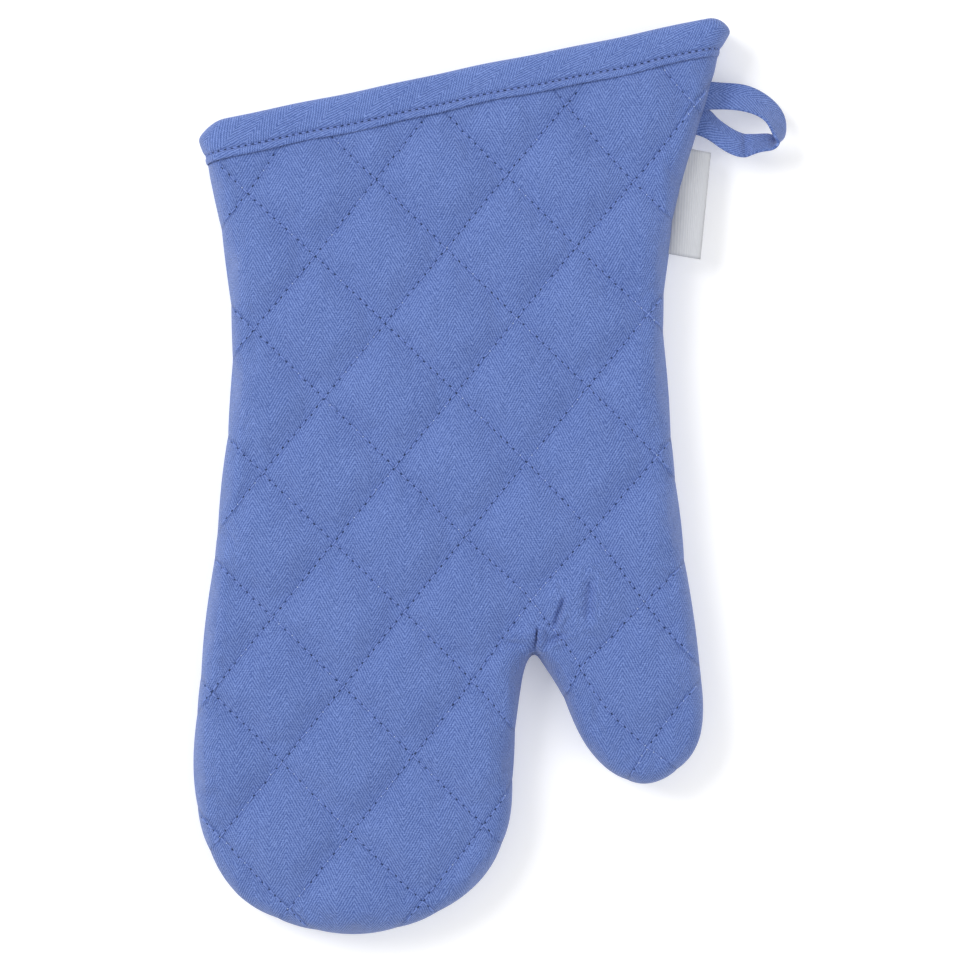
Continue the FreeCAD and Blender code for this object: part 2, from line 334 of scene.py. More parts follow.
def side_seam():
    """Fine polyline of the side seam, from the cuff's left end round to its right end, past both."""
    outline = Spline(OUTLINE, closed=True)
    fine = resample(outline.at(np.linspace(0, outline.knots[-1], CURVE_SAMPLES)), SEAM_STEP)
    return fine[below_cuff(fine) > -SEAM_PAST_CUFF]


SEAM = side_seam()
SEAM_TREE = KDTree(len(SEAM))
for index, (seam_x, seam_y) in enumerate(SEAM):
    SEAM_TREE.insert((seam_x, seam_y, 0), index)
SEAM_TREE.balance()
SEAM_RUN = unit(np.gradient(SEAM, axis=0))
SEAM_INWARD = np.stack([-SEAM_RUN[:, 1], SEAM_RUN[:, 0]], axis=1)


def nearest_seam(points):
    """For points in the plan: signed distance inside the seam, the nearest seam point, the way in."""
    index = np.array([SEAM_TREE.find((x, y, 0))[1] for x, y in points])
    inward = SEAM_INWARD[index]
    run = np.stack([inward[:, 1], -inward[:, 0]], axis=1)
    off = points - SEAM[index]
    across = (off * inward).sum(axis=1)
    along = (off * run).sum(axis=1)
    slid = np.clip(along, -SEAM_STEP, SEAM_STEP)
    inset = np.copysign(np.hypot(across, along - slid), across)
    return inset, SEAM[index] + run * slid[:, None], inward


# ======== the nested forms

def rise(share):
    """Height of the rounded side, 0 at the seam and 1 where the face is flat."""
    return (1 - (1 - np.clip(share, 0, 1)) ** ROUNDNESS) ** (1 / ROUNDNESS)


def rim_arc_table():
    """Shares across the rounded side, closer at the seam, and the cloth's length up from there."""
    share = 1 - np.cos(np.linspace(0, math.pi / 2, 400)) ** 1.2
    across = share * EDGE_ROUND
    up = rise(share) * MID
    run = np.concatenate([[0], np.cumsum(np.hypot(np.diff(across), np.diff(up)))])
    return share, run[-1] - run


ARC_SHARE, ARC_LEFT = rim_arc_table()


def on_form(plan, depth, side):
    """Points in space above plan points, at depths below the outer surface, side 1 up or -1 down."""
    inset, foot, inward = nearest_seam(plan)
    share = np.clip(inset / EDGE_ROUND, 0, 1)
    moved = foot + inward * (depth + (EDGE_ROUND - depth) * share)[:, None]
    flat = np.where((share < 1)[:, None], moved, plan)
    height = MID + side * (MID - depth) * rise(share)
    return np.column_stack([flat, height])


def cloth_coordinates(plan):
    """Where plan points are on the flat cloth, which also covers the rounded side."""
    inset, foot, inward = nearest_seam(plan)
    share = np.clip(inset / EDGE_ROUND, 0, 1)
    unrolled = EDGE_ROUND - np.interp(share, ARC_SHARE, ARC_LEFT)
    return np.where((share < 1)[:, None], foot + inward * unrolled[:, None], plan)


# ======== the panel's mesh

def drifted(points):
    """Where points of the even quilting pattern are on the sewn mitt."""
    moved = points.copy()
    for centre, reach, shift in QUILT_DRIFTS:
        share = np.exp(-(np.linalg.norm(points - centre, axis=1) / reach) ** 2)
        moved += share[:, None] * shift
    return moved


def lattice(points):
    """Quilting coordinates, whole numbers on the stitched lines."""
    even = points
    for _ in range(DRIFT_ROUNDS):
        even = even + points - drifted(even)
    return (even - QUILT_ANCHOR) @ np.linalg.inv(QUILT_STEPS)


def off_lines(plan, power):
    """0 on the stitched lines, rising to 1 in the middle of each quilted square."""
    s, t = lattice(plan).T
    return abs(np.sin(math.pi * s) * np.sin(math.pi * t)) ** power


def near_mitt(points):
    """Which points of the endless quilting pattern are on the mitt or near it."""
    return (abs(points[:, 0]) < NEAR_X) & (abs(points[:, 1]) < NEAR_Y)


class Scatter:
    """Points that keep a least distance from those before them."""

    def __init__(self):
        self.points, self.kinds, self.cells = [], [], {}

    def add(self, point, kind, apart):
        cell = (int(point[0] // SCATTER_CELL), int(point[1] // SCATTER_CELL))
        for dx in (-1, 0, 1):
            for dy in (-1, 0, 1):
                for other in self.cells.get((cell[0] + dx, cell[1] + dy), ()):
                    if math.dist(point, other) < apart:
                        return
        self.points.append(tuple(point))
        self.kinds.append(kind)
        self.cells.setdefault(cell, []).append(tuple(point))


def quilt_nodes():
    """Points of the quilting lattice, and whether each lies on a stitched line."""
    steps = range(-QUILT_REACH * CELL_DIVISIONS, QUILT_REACH * CELL_DIVISIONS + 1)
    pairs = np.array([(i, j) for i in steps for j in steps])
    on_line = (pairs % CELL_DIVISIONS == 0).any(axis=1)
    points = drifted(QUILT_ANCHOR + (pairs / CELL_DIVISIONS) @ QUILT_STEPS)
    near = near_mitt(points)
    return points[near], on_line[near]


def crease_nodes():
    """Fine rows of points along each fold."""
    rows = []
    for start, end, *_ in CREASES:
        line = resample(np.array([start, end], float), CREASE_STEP)
        run = (line[-1] - line[0]) / np.linalg.norm(line[-1] - line[0])
        for off in np.arange(-3, 4) * CREASE_STEP:
            rows += list(line + off * np.array((run[1], -run[0])))
    return rows


def panel_mesh():
    """Flat mesh of a panel: plan points, faces, and which points are seam, stitched line or cloth."""
    scatter = Scatter()
    border = resample(SEAM[below_cuff(SEAM) > SHEET_TOP], CLOTH_STEP)
    for point in border:
        scatter.add(point, "seam", 0)
    for point in resample(np.array([border[-1], border[0]]), CLOTH_STEP)[1:-1]:
        scatter.add(point, "top", 0)
    loop = len(scatter.points)
    nodes, on_line = quilt_nodes()
    inset = nearest_seam(nodes)[0]
    below_top = below_cuff(nodes) > SHEET_TOP + TOP_CLEARANCE
    for point in nodes[on_line & (inset > 1.0) & below_top]:
        scatter.add(point, "line", LINE_APART)
    for point in crease_nodes():
        scatter.add(point, "cloth", CREASE_APART)
    levels = np.linspace(1, 0, SIDE_RINGS + 2)[1:-1] * ARC_LEFT[0]
    inward_at = nearest_seam(border)[2]
    for ring in np.interp(levels, ARC_LEFT[::-1], ARC_SHARE[::-1]) * EDGE_ROUND:
        ring_points = border + inward_at * ring
        in_place = abs(nearest_seam(ring_points)[0] - ring) < RING_SLIP
        for point in ring_points[in_place & (below_cuff(ring_points) > SHEET_TOP + 1.0)]:
            scatter.add(point, "cloth", min(1.3, 0.6 * ring + 0.2))
    for point in nodes[(inset > EDGE_ROUND * 0.85) & below_top]:
        scatter.add(point, "cloth", CELL_APART)
    edges = [(i, (i + 1) % loop) for i in range(loop)]
    found = delaunay_2d_cdt([Vector(p) for p in scatter.points], edges, [], 0, 1e-6, True)
    plan = np.array([tuple(v) for v in found[0]])
    kinds = np.array([scatter.kinds[origin[0]] for origin in found[3]])
    triangles = [tuple(f) for f in found[2]]
    centres = np.array([plan[list(t)].mean(axis=0) for t in triangles])
    kept = inside(centres, np.array(scatter.points[:loop]))
    return plan, [t for t, keep in zip(triangles, kept) if keep], kinds


def inside(points, polygon):
    """Which points are inside a closed polygon, by counting the edges to their right."""
    odd = np.zeros(len(points), bool)
    for (ax, ay), (bx, by) in zip(polygon, np.roll(polygon, -1, axis=0)):
        if ay == by:
            continue
        crossing = (ay > points[:, 1]) != (by > points[:, 1])
        odd ^= crossing & (points[:, 0] < ax + (points[:, 1] - ay) / (by - ay) * (bx - ax))
    return odd


# ======== mesh helpers

def plain_mesh(name, points, faces):
    mesh = bpy.data.meshes.new(name)
    mesh.from_pydata(np.asarray(points).tolist(), [], [tuple(f) for f in faces])
    return mesh


def add_object(name, data):
    """New object in the scene."""
    made = bpy.data.objects.new(name, data)
    bpy.context.scene.collection.objects.link(made)
    return made


def make_object(name, points_mm, faces):
    """Smoothly shaded object with a mesh that is given in millimetres."""
    mesh = plain_mesh(name, np.asarray(points_mm) * MM, faces)
    mesh.polygons.foreach_set("use_smooth", [True] * len(mesh.polygons))
    mesh.update()
    return add_object(name, mesh)


def worked_out(piece):
    """A piece's mesh with its modifiers applied."""
    return piece.evaluated_get(bpy.context.evaluated_depsgraph_get()).to_mesh()


def read_points(mesh):
    flat = np.empty(len(mesh.vertices) * 3)
    mesh.vertices.foreach_get("co", flat)
    return flat.reshape(-1, 3) / MM


def vertex_normals(points, faces):
    mesh = plain_mesh("normals", points, faces)
    flat = np.empty(len(points) * 3)
    mesh.vertex_normals.foreach_get("vector", flat)
    bpy.data.meshes.remove(mesh)
    return flat.reshape(-1, 3)


def set_places(mesh, name, coordinates):
    """Stores two coordinates with each vertex, for the materials."""
    attribute = mesh.attributes.new(name, "FLOAT_VECTOR", "POINT")
    three = np.column_stack([coordinates, np.zeros(len(coordinates))])
    attribute.data.foreach_set("vector", three.astype(np.float32).ravel())


def border_edges(faces):
    """Edges used by one face only, in that face's direction."""
    seen = {}
    for face in faces:
        for a, b in zip(face, face[1:] + face[:1]):
            key = (min(a, b), max(a, b))
            seen[key] = None if key in seen else (a, b)
    return [edge for edge in seen.values() if edge]


def points_used(faces):
    return sorted({i for f in faces for i in f})


def grid_faces(rows, columns, closed=False):
    """Four-sided faces over points given row by row, joined up both ways where closed."""
    last = 0 if closed else 1
    return [(i * columns + k, i * columns + (k + 1) % columns,
             (i + 1) % rows * columns + (k + 1) % columns, (i + 1) % rows * columns + k)
            for i in range(rows - last) for k in range(columns - last)]


def layer_object(name, outer, inner, faces, cloth, normals=None, quilt=None):
    """Closed piece between an outer and an inner surface with the same faces."""
    used = points_used(faces)
    new = {old: i for i, old in enumerate(used)}
    count = len(used)
    top = [tuple(new[i] for i in f) for f in faces]
    bottom = [tuple(i + count for i in reversed(f)) for f in top]
    rim = [(b, a, a + count, b + count) for a, b in border_edges(top)]
    piece = make_object(name, np.vstack([outer[used], inner[used]]), top + bottom + rim)
    set_places(piece.data, "cloth", np.vstack([cloth[used], cloth[used]]))
    if quilt is not None:
        set_places(piece.data, "quilt", np.vstack([quilt[used], quilt[used]]))
    if normals is not None:
        both = np.vstack([normals[used], -normals[used]])
        piece.data.normals_split_custom_set_from_vertices(both.tolist())
    return piece


def round_off(piece):
    """Subdivides a piece once."""
    modifier = piece.modifiers.new("round", "SUBSURF")
    modifier.levels = modifier.render_levels = 1


def join_to_quads(points, faces, side):
    """Most of a surface's triangles joined in pairs, all facing out on the given side."""
    mesh = plain_mesh("quads", points, faces)
    bm = bmesh.new()
    bm.from_mesh(mesh)
    bmesh.ops.join_triangles(bm, faces=bm.faces, angle_face_threshold=QUAD_LIMIT,
                             angle_shape_threshold=QUAD_LIMIT)
    joined = [tuple(v.index for v in f.verts)[::side] for f in bm.faces]
    bm.free()
    bpy.data.meshes.remove(mesh)
    return joined


def subdivided(points, faces, extra):
    """One Catmull-Clark subdivision of a surface, with extra per-point values carried along."""
    piece = make_object("subdivide", points, faces)
    for k, values in enumerate(extra.T):
        attribute = piece.data.attributes.new(f"extra{k}", "FLOAT", "POINT")
        attribute.data.foreach_set("value", values.astype(np.float32))
    piece.modifiers.new("smooth", "SUBSURF").levels = 1
    made = worked_out(piece)
    new_points = read_points(made)
    new_faces = [tuple(f.vertices) for f in made.polygons]
    new_extra = np.empty((extra.shape[1], len(new_points)), np.float32)
    for k, row in enumerate(new_extra):
        made.attributes[f"extra{k}"].data.foreach_get("value", row)
    bpy.data.objects.remove(piece)
    return new_points, new_faces, new_extra.T.astype(float, order="C")


# ======== the quilted shell

def start_depths(plan):
    """Depth of the unswollen shell: deep on the stitched lines, shallow between them."""
    inset = nearest_seam(plan)[0]
    deep = below_cuff(plan)
    share = smooth(inset / EDGE_ROUND)
    puff = off_lines(plan, 0.6)
    valley = SEAM_DEPTH + (VALLEY_DEPTH - SEAM_DEPTH) * share
    crown = SEAM_DEPTH + (PUFF_START_DEPTH - SEAM_DEPTH) * share
    depth = valley + (crown - valley) * puff
    bound = smooth((BINDING_WIDTH + 7 - deep) / 7)
    return depth + (BOUND_DEPTH - depth) * bound * np.clip(share + 0.4, 0, 1)


def swell(points, faces, held, seed):
    """Cloth simulation: slack cloth pushed outwards between the points that are held."""
    rng = np.random.default_rng(seed)
    shaken = points + rng.normal(0, SIM_SHAKE, points.shape) * ~held[:, None]
    piece = make_object("swelling", shaken * SIM_SCALE, faces)
    group = piece.vertex_groups.new(name="held")
    group.add([int(i) for i in np.flatnonzero(held)], 1.0, "REPLACE")
    cloth = piece.modifiers.new("cloth", "CLOTH")
    for name, value in CLOTH_SETTINGS.items():
        setattr(cloth.settings, name, value)
    cloth.settings.effector_weights.gravity = 0
    cloth.point_cache.frame_start = 1
    cloth.point_cache.frame_end = SIM_FRAMES
    scene = bpy.context.scene
    for number in range(1, SIM_FRAMES + 1):
        scene.frame_set(number)
    made = worked_out(piece)
    swollen = read_points(made) / SIM_SCALE
    scene.frame_set(1)
    bpy.data.objects.remove(piece)
    return swollen


# ======== where the cloth is split

def in_thumb(plan):
    """True for plan points on the thumb's side of the line through the crotch."""
    return ((plan - CROTCH) @ THUMB_AWAY > 0) & (plan[:, 0] > POCKET_DIVIDE_X)


def zone_at(plan_point):
    return "thumb" if in_thumb(np.array([plan_point]))[0] else "main"


def bend_with_body(piece, zone):
    """Bakes a piece's placement into its mesh, the same for the main cloth and the thumb's."""
    if zone == "thumb":
        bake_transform(piece)
    else:
        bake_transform(piece)


def nodes_of(layer, zone):
    """The CAD nodes of a layer that a zone of its cloth stands for."""
    shares = ["thumb"] if zone == "thumb" else ["hand", "fingers"]
    return [f"{layer}_{share}" for share in shares]


def finish_piece(piece, material, slot, nodes=()):
    """Gives a piece its material and hides the CAD nodes that it stands for; the slot is not used."""
    piece.data.materials.append(material)
    if nodes:
        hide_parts(*nodes)


# ======== layers of each panel

def crease_depth(plan):
    """Folds in the cloth above the crotch: a groove, and a lower ridge beside it."""
    depth = np.zeros(len(plan))
    for start, end, deep, wide in CREASES:
        a, run = np.array(start), np.array(end) - np.array(start)
        along = np.clip((plan - a) @ run / (run @ run), 0, 1)
        fading = smooth(3 * along) * smooth(3 - 3 * along)
        off = plan - a - along[:, None] * run
        away = np.linalg.norm(off, axis=1)
        beside = away * np.sign(off @ np.array((run[1], -run[0])))
        ridge = CREASE_RIDGE * np.exp(-((beside - 2 * wide) / wide) ** 2)
        depth += deep * fading * (np.exp(-(away / wide) ** 2) - ridge)
    return depth


def fold_sinking(plan, side):
    """How far the layers under the front panel's folds are pushed down."""
    return np.abs(crease_depth(plan)) * (side > 0)


def seam_pull(plan):
    """Shift of points near the side seam, which the quilting's thread draws in where it meets it."""
    inset, foot, inward = nearest_seam(plan)
    near = 1 - smooth(inset / SEAM_PULL_REACH)
    bound = smooth((below_cuff(plan) - BINDING_WIDTH) / 10)
    return inward * (SEAM_PULL * (1 - off_lines(foot, 0.7)) * near * bound)[:, None]


def make_sheet(side, seed):
    """The shell's outer surface after swelling: points, plan, faces, cloth coordinates, normals."""
    plan, triangles, kinds = PANEL
    start = on_form(plan, start_depths(plan), side)
    start[kinds == "seam", 2] = MID
    faces = join_to_quads(start, triangles, side)
    held = (kinds != "cloth") | (below_cuff(plan) < BINDING_WIDTH + 1)
    points = swell(start, faces, held, seed)
    extra = np.column_stack([plan, cloth_coordinates(plan)])
    points, faces, extra = subdivided(points, faces, extra)
    plan, cloth = extra[:, :2], extra[:, 2:]
    points[:, :2] += seam_pull(plan)
    if side > 0:
        points[:, 2] -= crease_depth(plan)
        points[:, 2] = np.minimum(points[:, 2], THICKNESS + LOFT_LIMIT)
    else:
        low = points[:, 2]
        pressed = REST_START - REST_PRESS * np.tanh((REST_START - low) / REST_PRESS)
        points[:, 2] = np.where(low < REST_START, pressed, low)
    normals = vertex_normals(points, faces)
    return {"points": points, "plan": plan, "faces": faces, "cloth": cloth, "normals": normals,
            "side": side}


def split_faces(sheet):
    """The sheet's faces, shared out between the main cloth and the thumb's."""
    centres = np.array([sheet["plan"][list(f)].mean(axis=0) for f in sheet["faces"]])
    thumb = in_thumb(centres)
    return {"main": [f for f, t in zip(sheet["faces"], thumb) if not t],
            "thumb": [f for f, t in zip(sheet["faces"], thumb) if t]}


def layer_pieces(name, layer, sheet, outer, inner, material, slot, **stored):
    """A layer's main piece and thumb piece, which stand for the CAD layer's nodes, and their faces."""
    for zone, faces in split_faces(sheet).items():
        piece = layer_object(f"{name}_{zone}", outer, inner, faces, sheet["cloth"], **stored)
        finish_piece(piece, material, slot, nodes_of(layer, zone))
        bend_with_body(piece, zone)
        yield piece, faces


def shell_layer(sheet, word, material):
    inner = sheet["points"] - sheet["normals"] * SHELL_CLOTH
    for piece, _ in layer_pieces(f"{word}_shell", f"{word}_outer_shell", sheet, sheet["points"], inner,
                                 material, "shell_cotton", normals=sheet["normals"],
                                 quilt=lattice(sheet["plan"])):
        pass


def batting_layer(sheet, word, material):
    sinking = fold_sinking(sheet["plan"], sheet["side"])
    outer = sheet["points"] - sheet["normals"] * BATTING_TOP
    outer[:, 2] -= BATTING_GIVES * sinking
    inner = on_form(sheet["plan"], BATTING_BOTTOM, sheet["side"])
    inner[:, 2] -= LINING_GIVES * sinking
    for piece, _ in layer_pieces(f"{word}_wadding", f"{word}_batting", sheet, outer, inner, material,
                                 "batting"):
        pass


def lining_layer(side, word, material):
    """Lining cloth, quilted with the shell, so it swells a little into the pocket."""
    plan, triangles, _ = PANEL
    faces = join_to_quads(on_form(plan, LINING_DEPTH, side), triangles, side)
    share = smooth(nearest_seam(plan)[0] / EDGE_ROUND)
    puff = LINING_PUFF * share * off_lines(plan, 0.5)
    outer = on_form(plan, LINING_DEPTH + puff, side)
    inner = on_form(plan, LINING_DEPTH + puff + LINING_CLOTH, side)
    for surface in (outer, inner):
        surface[:, 2] -= LINING_GIVES * fold_sinking(plan, side)
    cloth = cloth_coordinates(plan)
    sheet = {"plan": plan, "faces": faces, "cloth": cloth}
    for piece, used_faces in layer_pieces(f"{word}_lining_cloth", f"{word}_lining", sheet, outer, inner,
                                          material, "lining_cotton"):
        size = np.ptp(cloth[points_used(used_faces)], axis=0) * MM
        area = face_area(np.column_stack([cloth, np.zeros(len(cloth))]), used_faces) * MM ** 2


def face_area(points, faces):
    total = 0.0
    for face in faces:
        a = points[face[0]]
        for b, c in zip(face[1:], face[2:]):
            total += np.linalg.norm(np.cross(points[b] - a, points[c] - a)) / 2
    return total


# ======== stitches

def capsule(points_mm, radius, segments=6):
    """Closed tube with narrowed ends along a short path: points and faces."""
    path = np.asarray(points_mm, float)
    run = unit(np.gradient(path, axis=0))
    up = np.array((0.0, 0.0, 1.0)) if abs(run[0][2]) < 0.8 else np.array((1.0, 0.0, 0.0))
    side = unit(np.cross(run, up))
    rise_way = np.cross(side, run)
    widths = np.full(len(path), radius)
    widths[0] = widths[-1] = radius * END_NARROWING
    angles = np.arange(segments) * 2 * math.pi / segments
    rings = [centre + width * (np.outer(np.cos(angles), across) + np.outer(np.sin(angles), upward))
             for centre, width, across, upward in zip(path, widths, side, rise_way)]
    faces = []
    for i in range(len(path) - 1):
        for k in range(segments):
            a, b = i * segments + k, i * segments + (k + 1) % segments
            faces.append((a, b, b + segments, a + segments))
    faces.append(tuple(reversed(range(segments))))
    last = (len(path) - 1) * segments
    faces.append(tuple(range(last, last + segments)))
    return np.vstack(rings), faces


def needle_hole(centre, along, normal, length, width, segments=8):
    """Small sunken dome, longer along the seam: points and faces."""
    along = along - normal * (along @ normal)
    along /= np.linalg.norm(along)
    across = np.cross(normal, along)
    points = [centre + normal * 0.16]
    for radius, height in ((0.6, 0.12), (1.0, -0.1)):
        for k in range(segments):
            angle = 2 * math.pi * k / segments
            points.append(centre + normal * height + along * math.cos(angle) * radius * length / 2
                          + across * math.sin(angle) * radius * width / 2)
    points.append(centre - normal * 0.3)
    faces = []
    for k in range(segments):
        following = (k + 1) % segments
        faces.append((0, 1 + k, 1 + following))
        faces.append((1 + k, 1 + segments + k, 1 + segments + following, 1 + following))
        faces.append((1 + segments + k, 1 + 2 * segments, 1 + segments + following))
    return np.array(points), faces


class Heap:
    """Many small closed forms gathered into one mesh."""

    def __init__(self):
        self.points, self.faces, self.count = [], [], 0

    def add(self, points, faces):
        self.points.append(points)
        self.faces += [tuple(i + self.count for i in f) for f in faces]
        self.count += len(points)

    def piece(self, name):
        return make_object(name, np.vstack(self.points), self.faces)


def heap_for_each_zone():
    return {zone: Heap() for zone in ZONES}


def stitched_lines():
    """Runs of needle-hole places along every quilting line, at the stitch's pitch."""
    runs = []
    for step, other in (QUILT_STEPS, QUILT_STEPS[::-1]):
        way = step / np.linalg.norm(step)
        for number in range(-QUILT_REACH, QUILT_REACH + 1):
            along = np.arange(-LINE_STITCHES, LINE_STITCHES + 1) * STITCH_PITCH
            line = drifted(QUILT_ANCHOR + other * number + along[:, None] * way)
            line = line[near_mitt(line)]
            if len(line) > 2:
                good = (nearest_seam(line)[0] > LINE_INSET) & (below_cuff(line) > BINDING_WIDTH + 1.0)
                runs += cut_runs(line, good)
    return runs


def cut_runs(line, good):
    """The stretches of a line whose points are good, of three points or more."""
    cuts = np.flatnonzero(good[1:] != good[:-1]) + 1
    stretches = zip(np.split(line, cuts), np.split(good, cuts))
    return [stretch for stretch, fine in stretches if fine[0] and len(stretch) > 2]


def onto(tree, plan_point, side):
    """The surface's point and normal above or below a plan point."""
    start = Vector((plan_point[0], plan_point[1], MID + side * 60))
    hit, normal, _, _ = tree.ray_cast(start, Vector((0, 0, -side)))
    if hit is None:
        return None, None
    normal = np.array(normal)
    if normal[2] * side < 0:
        normal = -normal
    return np.array(hit), normal


def knot_share(plan_point):
    """Share of needle holes where the pale lower thread shows, most of all round the edges."""
    share = KNOTS_ANYWHERE
    for centre, reach in KNOTTED:
        share += KNOTS_THERE * math.exp(-(math.dist(plan_point, centre) / reach) ** 2)
    return share


def stitch_path(tree, here, following, side, lift):
    """A stitch's thread over the cloth between two needle holes."""
    path = []
    for share, height in STITCH_PATH:
        hit, normal = onto(tree, here + (following - here) * share, side)
        if hit is not None:
            path.append(hit + normal * (height + (lift if share == 0.5 else 0)))
    return path


def quilting(sheet, word, thread, dark, pale, seed):
    """Stitches, needle holes drawn as dark patches of painted shade, and spots of lower thread over one
    panel.
    """
    rng = np.random.default_rng(seed)
    tree = BVHTree.FromPolygons(sheet["points"].tolist(), sheet["faces"])
    stitches, holes, knots = heap_for_each_zone(), heap_for_each_zone(), heap_for_each_zone()
    for run in stitched_lines():
        run = run + rng.normal(0, STITCH_WANDER, run.shape)
        for here, following in zip(run, run[1:]):
            zone = zone_at((here + following) / 2)
            path = stitch_path(tree, here, following, sheet["side"], rng.uniform(-0.05, 0.1))
            if len(path) == len(STITCH_PATH):
                stitches[zone].add(*capsule(path, QUILT_THREAD / 2))
            hit, normal = onto(tree, here, sheet["side"])
            if hit is None:
                continue
            along = np.append(following - here, 0.0)
            if rng.random() < knot_share(here):
                knots[zone].add(*needle_hole(hit, along, normal, *KNOT_SIZE))
            else:
                length, width = rng.uniform(*HOLE_LENGTHS), rng.uniform(*HOLE_WIDTHS)
                # Each needle hole is a dark patch of painted shade, standing for the shade inside the
                # hole.
                holes[zone].add(*needle_hole(hit, along, normal, length, width))
    for zone in ZONES:
        stands_for = nodes_of(f"{word}_quilting_thread", zone)
        for kind, heaps, material, slot, nodes in (
                ("quilting_stitches", stitches, thread, "thread", stands_for),
                ("needle_hole_shade", holes, dark, "shell_cotton", ()),
                ("bobbin_knots", knots, pale, "thread", ())):
            piece = heaps[zone].piece(f"{word}_{kind}_{zone}")
            finish_piece(piece, material, slot, nodes)
            bend_with_body(piece, zone)


def seam_stitches(thread):
    """The side seam's stitches, inside the turned edge on the middle plane."""
    heaps = heap_for_each_zone()
    line = resample(SEAM[below_cuff(SEAM) > BINDING_WIDTH], STITCH_PITCH)
    inward = nearest_seam(line)[2]
    places = np.column_stack([line + inward * SEAM_THREAD_INSET, np.full(len(line), MID)])
    for here, following in zip(places, places[1:]):
        path = [here + (following - here) * share for share in (0.1, 0.5, 0.9)]
        heaps[zone_at(here[:2])].add(*capsule(path, SEAM_THREAD / 2))
    for zone, heap in heaps.items():
        piece = heap.piece(f"side_seam_stitches_{zone}")
        finish_piece(piece, thread, "thread", nodes_of("side_seam_thread", zone))
        bend_with_body(piece, zone)


# ======== cuff binding

def cuff_ends(below):
    """The seam's left and right ends along the cuff, at a distance below its edge."""
    along = (SEAM - CUFF_CENTRE) @ CUFF_ALONG
    deep = below_cuff(SEAM)
    ends = []
    for side in (-1, 1):
        near = (side * along > 0) & (deep < CUFF_SIDE_REACH)
        order = np.argsort(deep[near])
        ends.append(np.interp(below, deep[near][order], along[near][order]))
    return ends


def cuff_ring(below, depth, wave_share):
    """Closed section of the cuff at a distance below its edge and a depth below the surface."""
    left, right = cuff_ends(below)
    corner = np.linspace(0, math.pi / 2, CORNER_STATIONS)[:-1]
    inset = EDGE_ROUND - (EDGE_ROUND - depth) * np.cos(corner) ** (2 / ROUNDNESS)
    high = (MID - depth) * np.sin(corner) ** (2 / ROUNDNESS)
    middle = np.linspace(left + EDGE_ROUND, right - EDGE_ROUND, CUFF_STATIONS)
    along = np.concatenate([left + inset, middle, (right - inset)[::-1]])
    up = np.concatenate([high, np.full(len(middle), MID - depth), high[::-1]])
    plan = CUFF_CENTRE - CUFF_UP * below + along[:, None] * CUFF_ALONG
    bulge, drop = cuff_end_shape(along, left, right, below, depth)
    plan = plan + CUFF_UP * (wave_share * cuff_wave(along) - drop)[:, None] + bulge[:, None] * CUFF_ALONG
    front = np.column_stack([plan, MID + up])
    back = np.column_stack([plan, MID - up])[::-1][1:-1]
    return np.vstack([front, back])


def cuff_end_shape(along, left, right, below, depth):
    """How far the binding's ends stand out past the side seam, and how far their corners drop."""
    to_right = right - along
    near_left = 1 - smooth((along - left) / 10)
    puffed = math.exp(-((below - 6.0) / 4.5) ** 2) * (1 - float(smooth((depth - 1) / 3)))
    bulge = puffed * (END_BULGE_RIGHT * (1 - smooth(to_right / 12)) - END_BULGE_LEFT * near_left)
    near_edge = 1 - float(smooth(below / 9))
    corner_drop = END_DROP_RIGHT * np.clip(1 - to_right / 7.5, 0, 1) ** 2
    return bulge, near_edge * (END_DROP_LEFT * near_left + corner_drop)


def cuff_wave(along):
    """Slight unevenness of a hand-fed binding along the cuff, which is wider at its left end."""
    waves = 0.3 * np.sin(along / 13.0 + 1.0) + 0.2 * np.sin(along / 5.3) + 0.2 * np.sin(along / 29.0 + 2.0)
    return waves + 0.008 * along


def cuff_binding(material):
    """The folded tape, a closed section carried all round the cuff."""
    rings = [cuff_ring(*station) for station in BINDING_SECTION]
    around = len(rings[0])
    faces = grid_faces(len(rings), around, closed=True)
    piece = make_object("cuff_binding_tape", np.vstack(rings), faces)
    run = lengths_along(rings[0])
    across = lengths_along(np.array(BINDING_SECTION)[:, :2])
    cloth = np.vstack([np.column_stack([run, np.full(around, a)]) for a in across])
    set_places(piece.data, "cloth", cloth)
    round_off(piece)
    finish_piece(piece, material, "binding_cotton", ["cuff_binding"])
    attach(piece, "hand")


def binding_stitches(thread, dark):
    """Topstitching in its groove, all round the binding, with its needle holes drawn as dark patches of
    painted shade.
    """
    rng = np.random.default_rng(31)
    stitches, holes = Heap(), Heap()
    groove, above = [cuff_ring(TOPSTITCH_AT, depth, 0.7) for depth in (0.95, 0.65)]
    places = resample(np.vstack([groove, groove[:1]]), TOPSTITCH_PITCH)
    outward = resample(np.vstack([above, above[:1]]), TOPSTITCH_PITCH)[:len(places)] - places
    for here, following, way in zip(places, places[1:], outward):
        normal = way / max(np.linalg.norm(way), 1e-6)
        path = [here + (following - here) * share + normal * height for share, height in TOPSTITCH_PATH]
        stitches.add(*capsule(path, TOPSTITCH_THREAD / 2))
        length, width = rng.uniform(*TOPSTITCH_HOLE_LENGTHS), rng.uniform(*TOPSTITCH_HOLE_WIDTHS)
        holes.add(*needle_hole(here, following - here, normal, length, width))
    for piece, material, slot, nodes in (
            (stitches.piece("binding_topstitches"), thread, "thread", ["binding_topstitch"]),
            (holes.piece("binding_needle_hole_shade"), dark, "binding_cotton", ())):
        finish_piece(piece, material, slot, nodes)
        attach(piece, "hand")


# ======== hanging loop and label

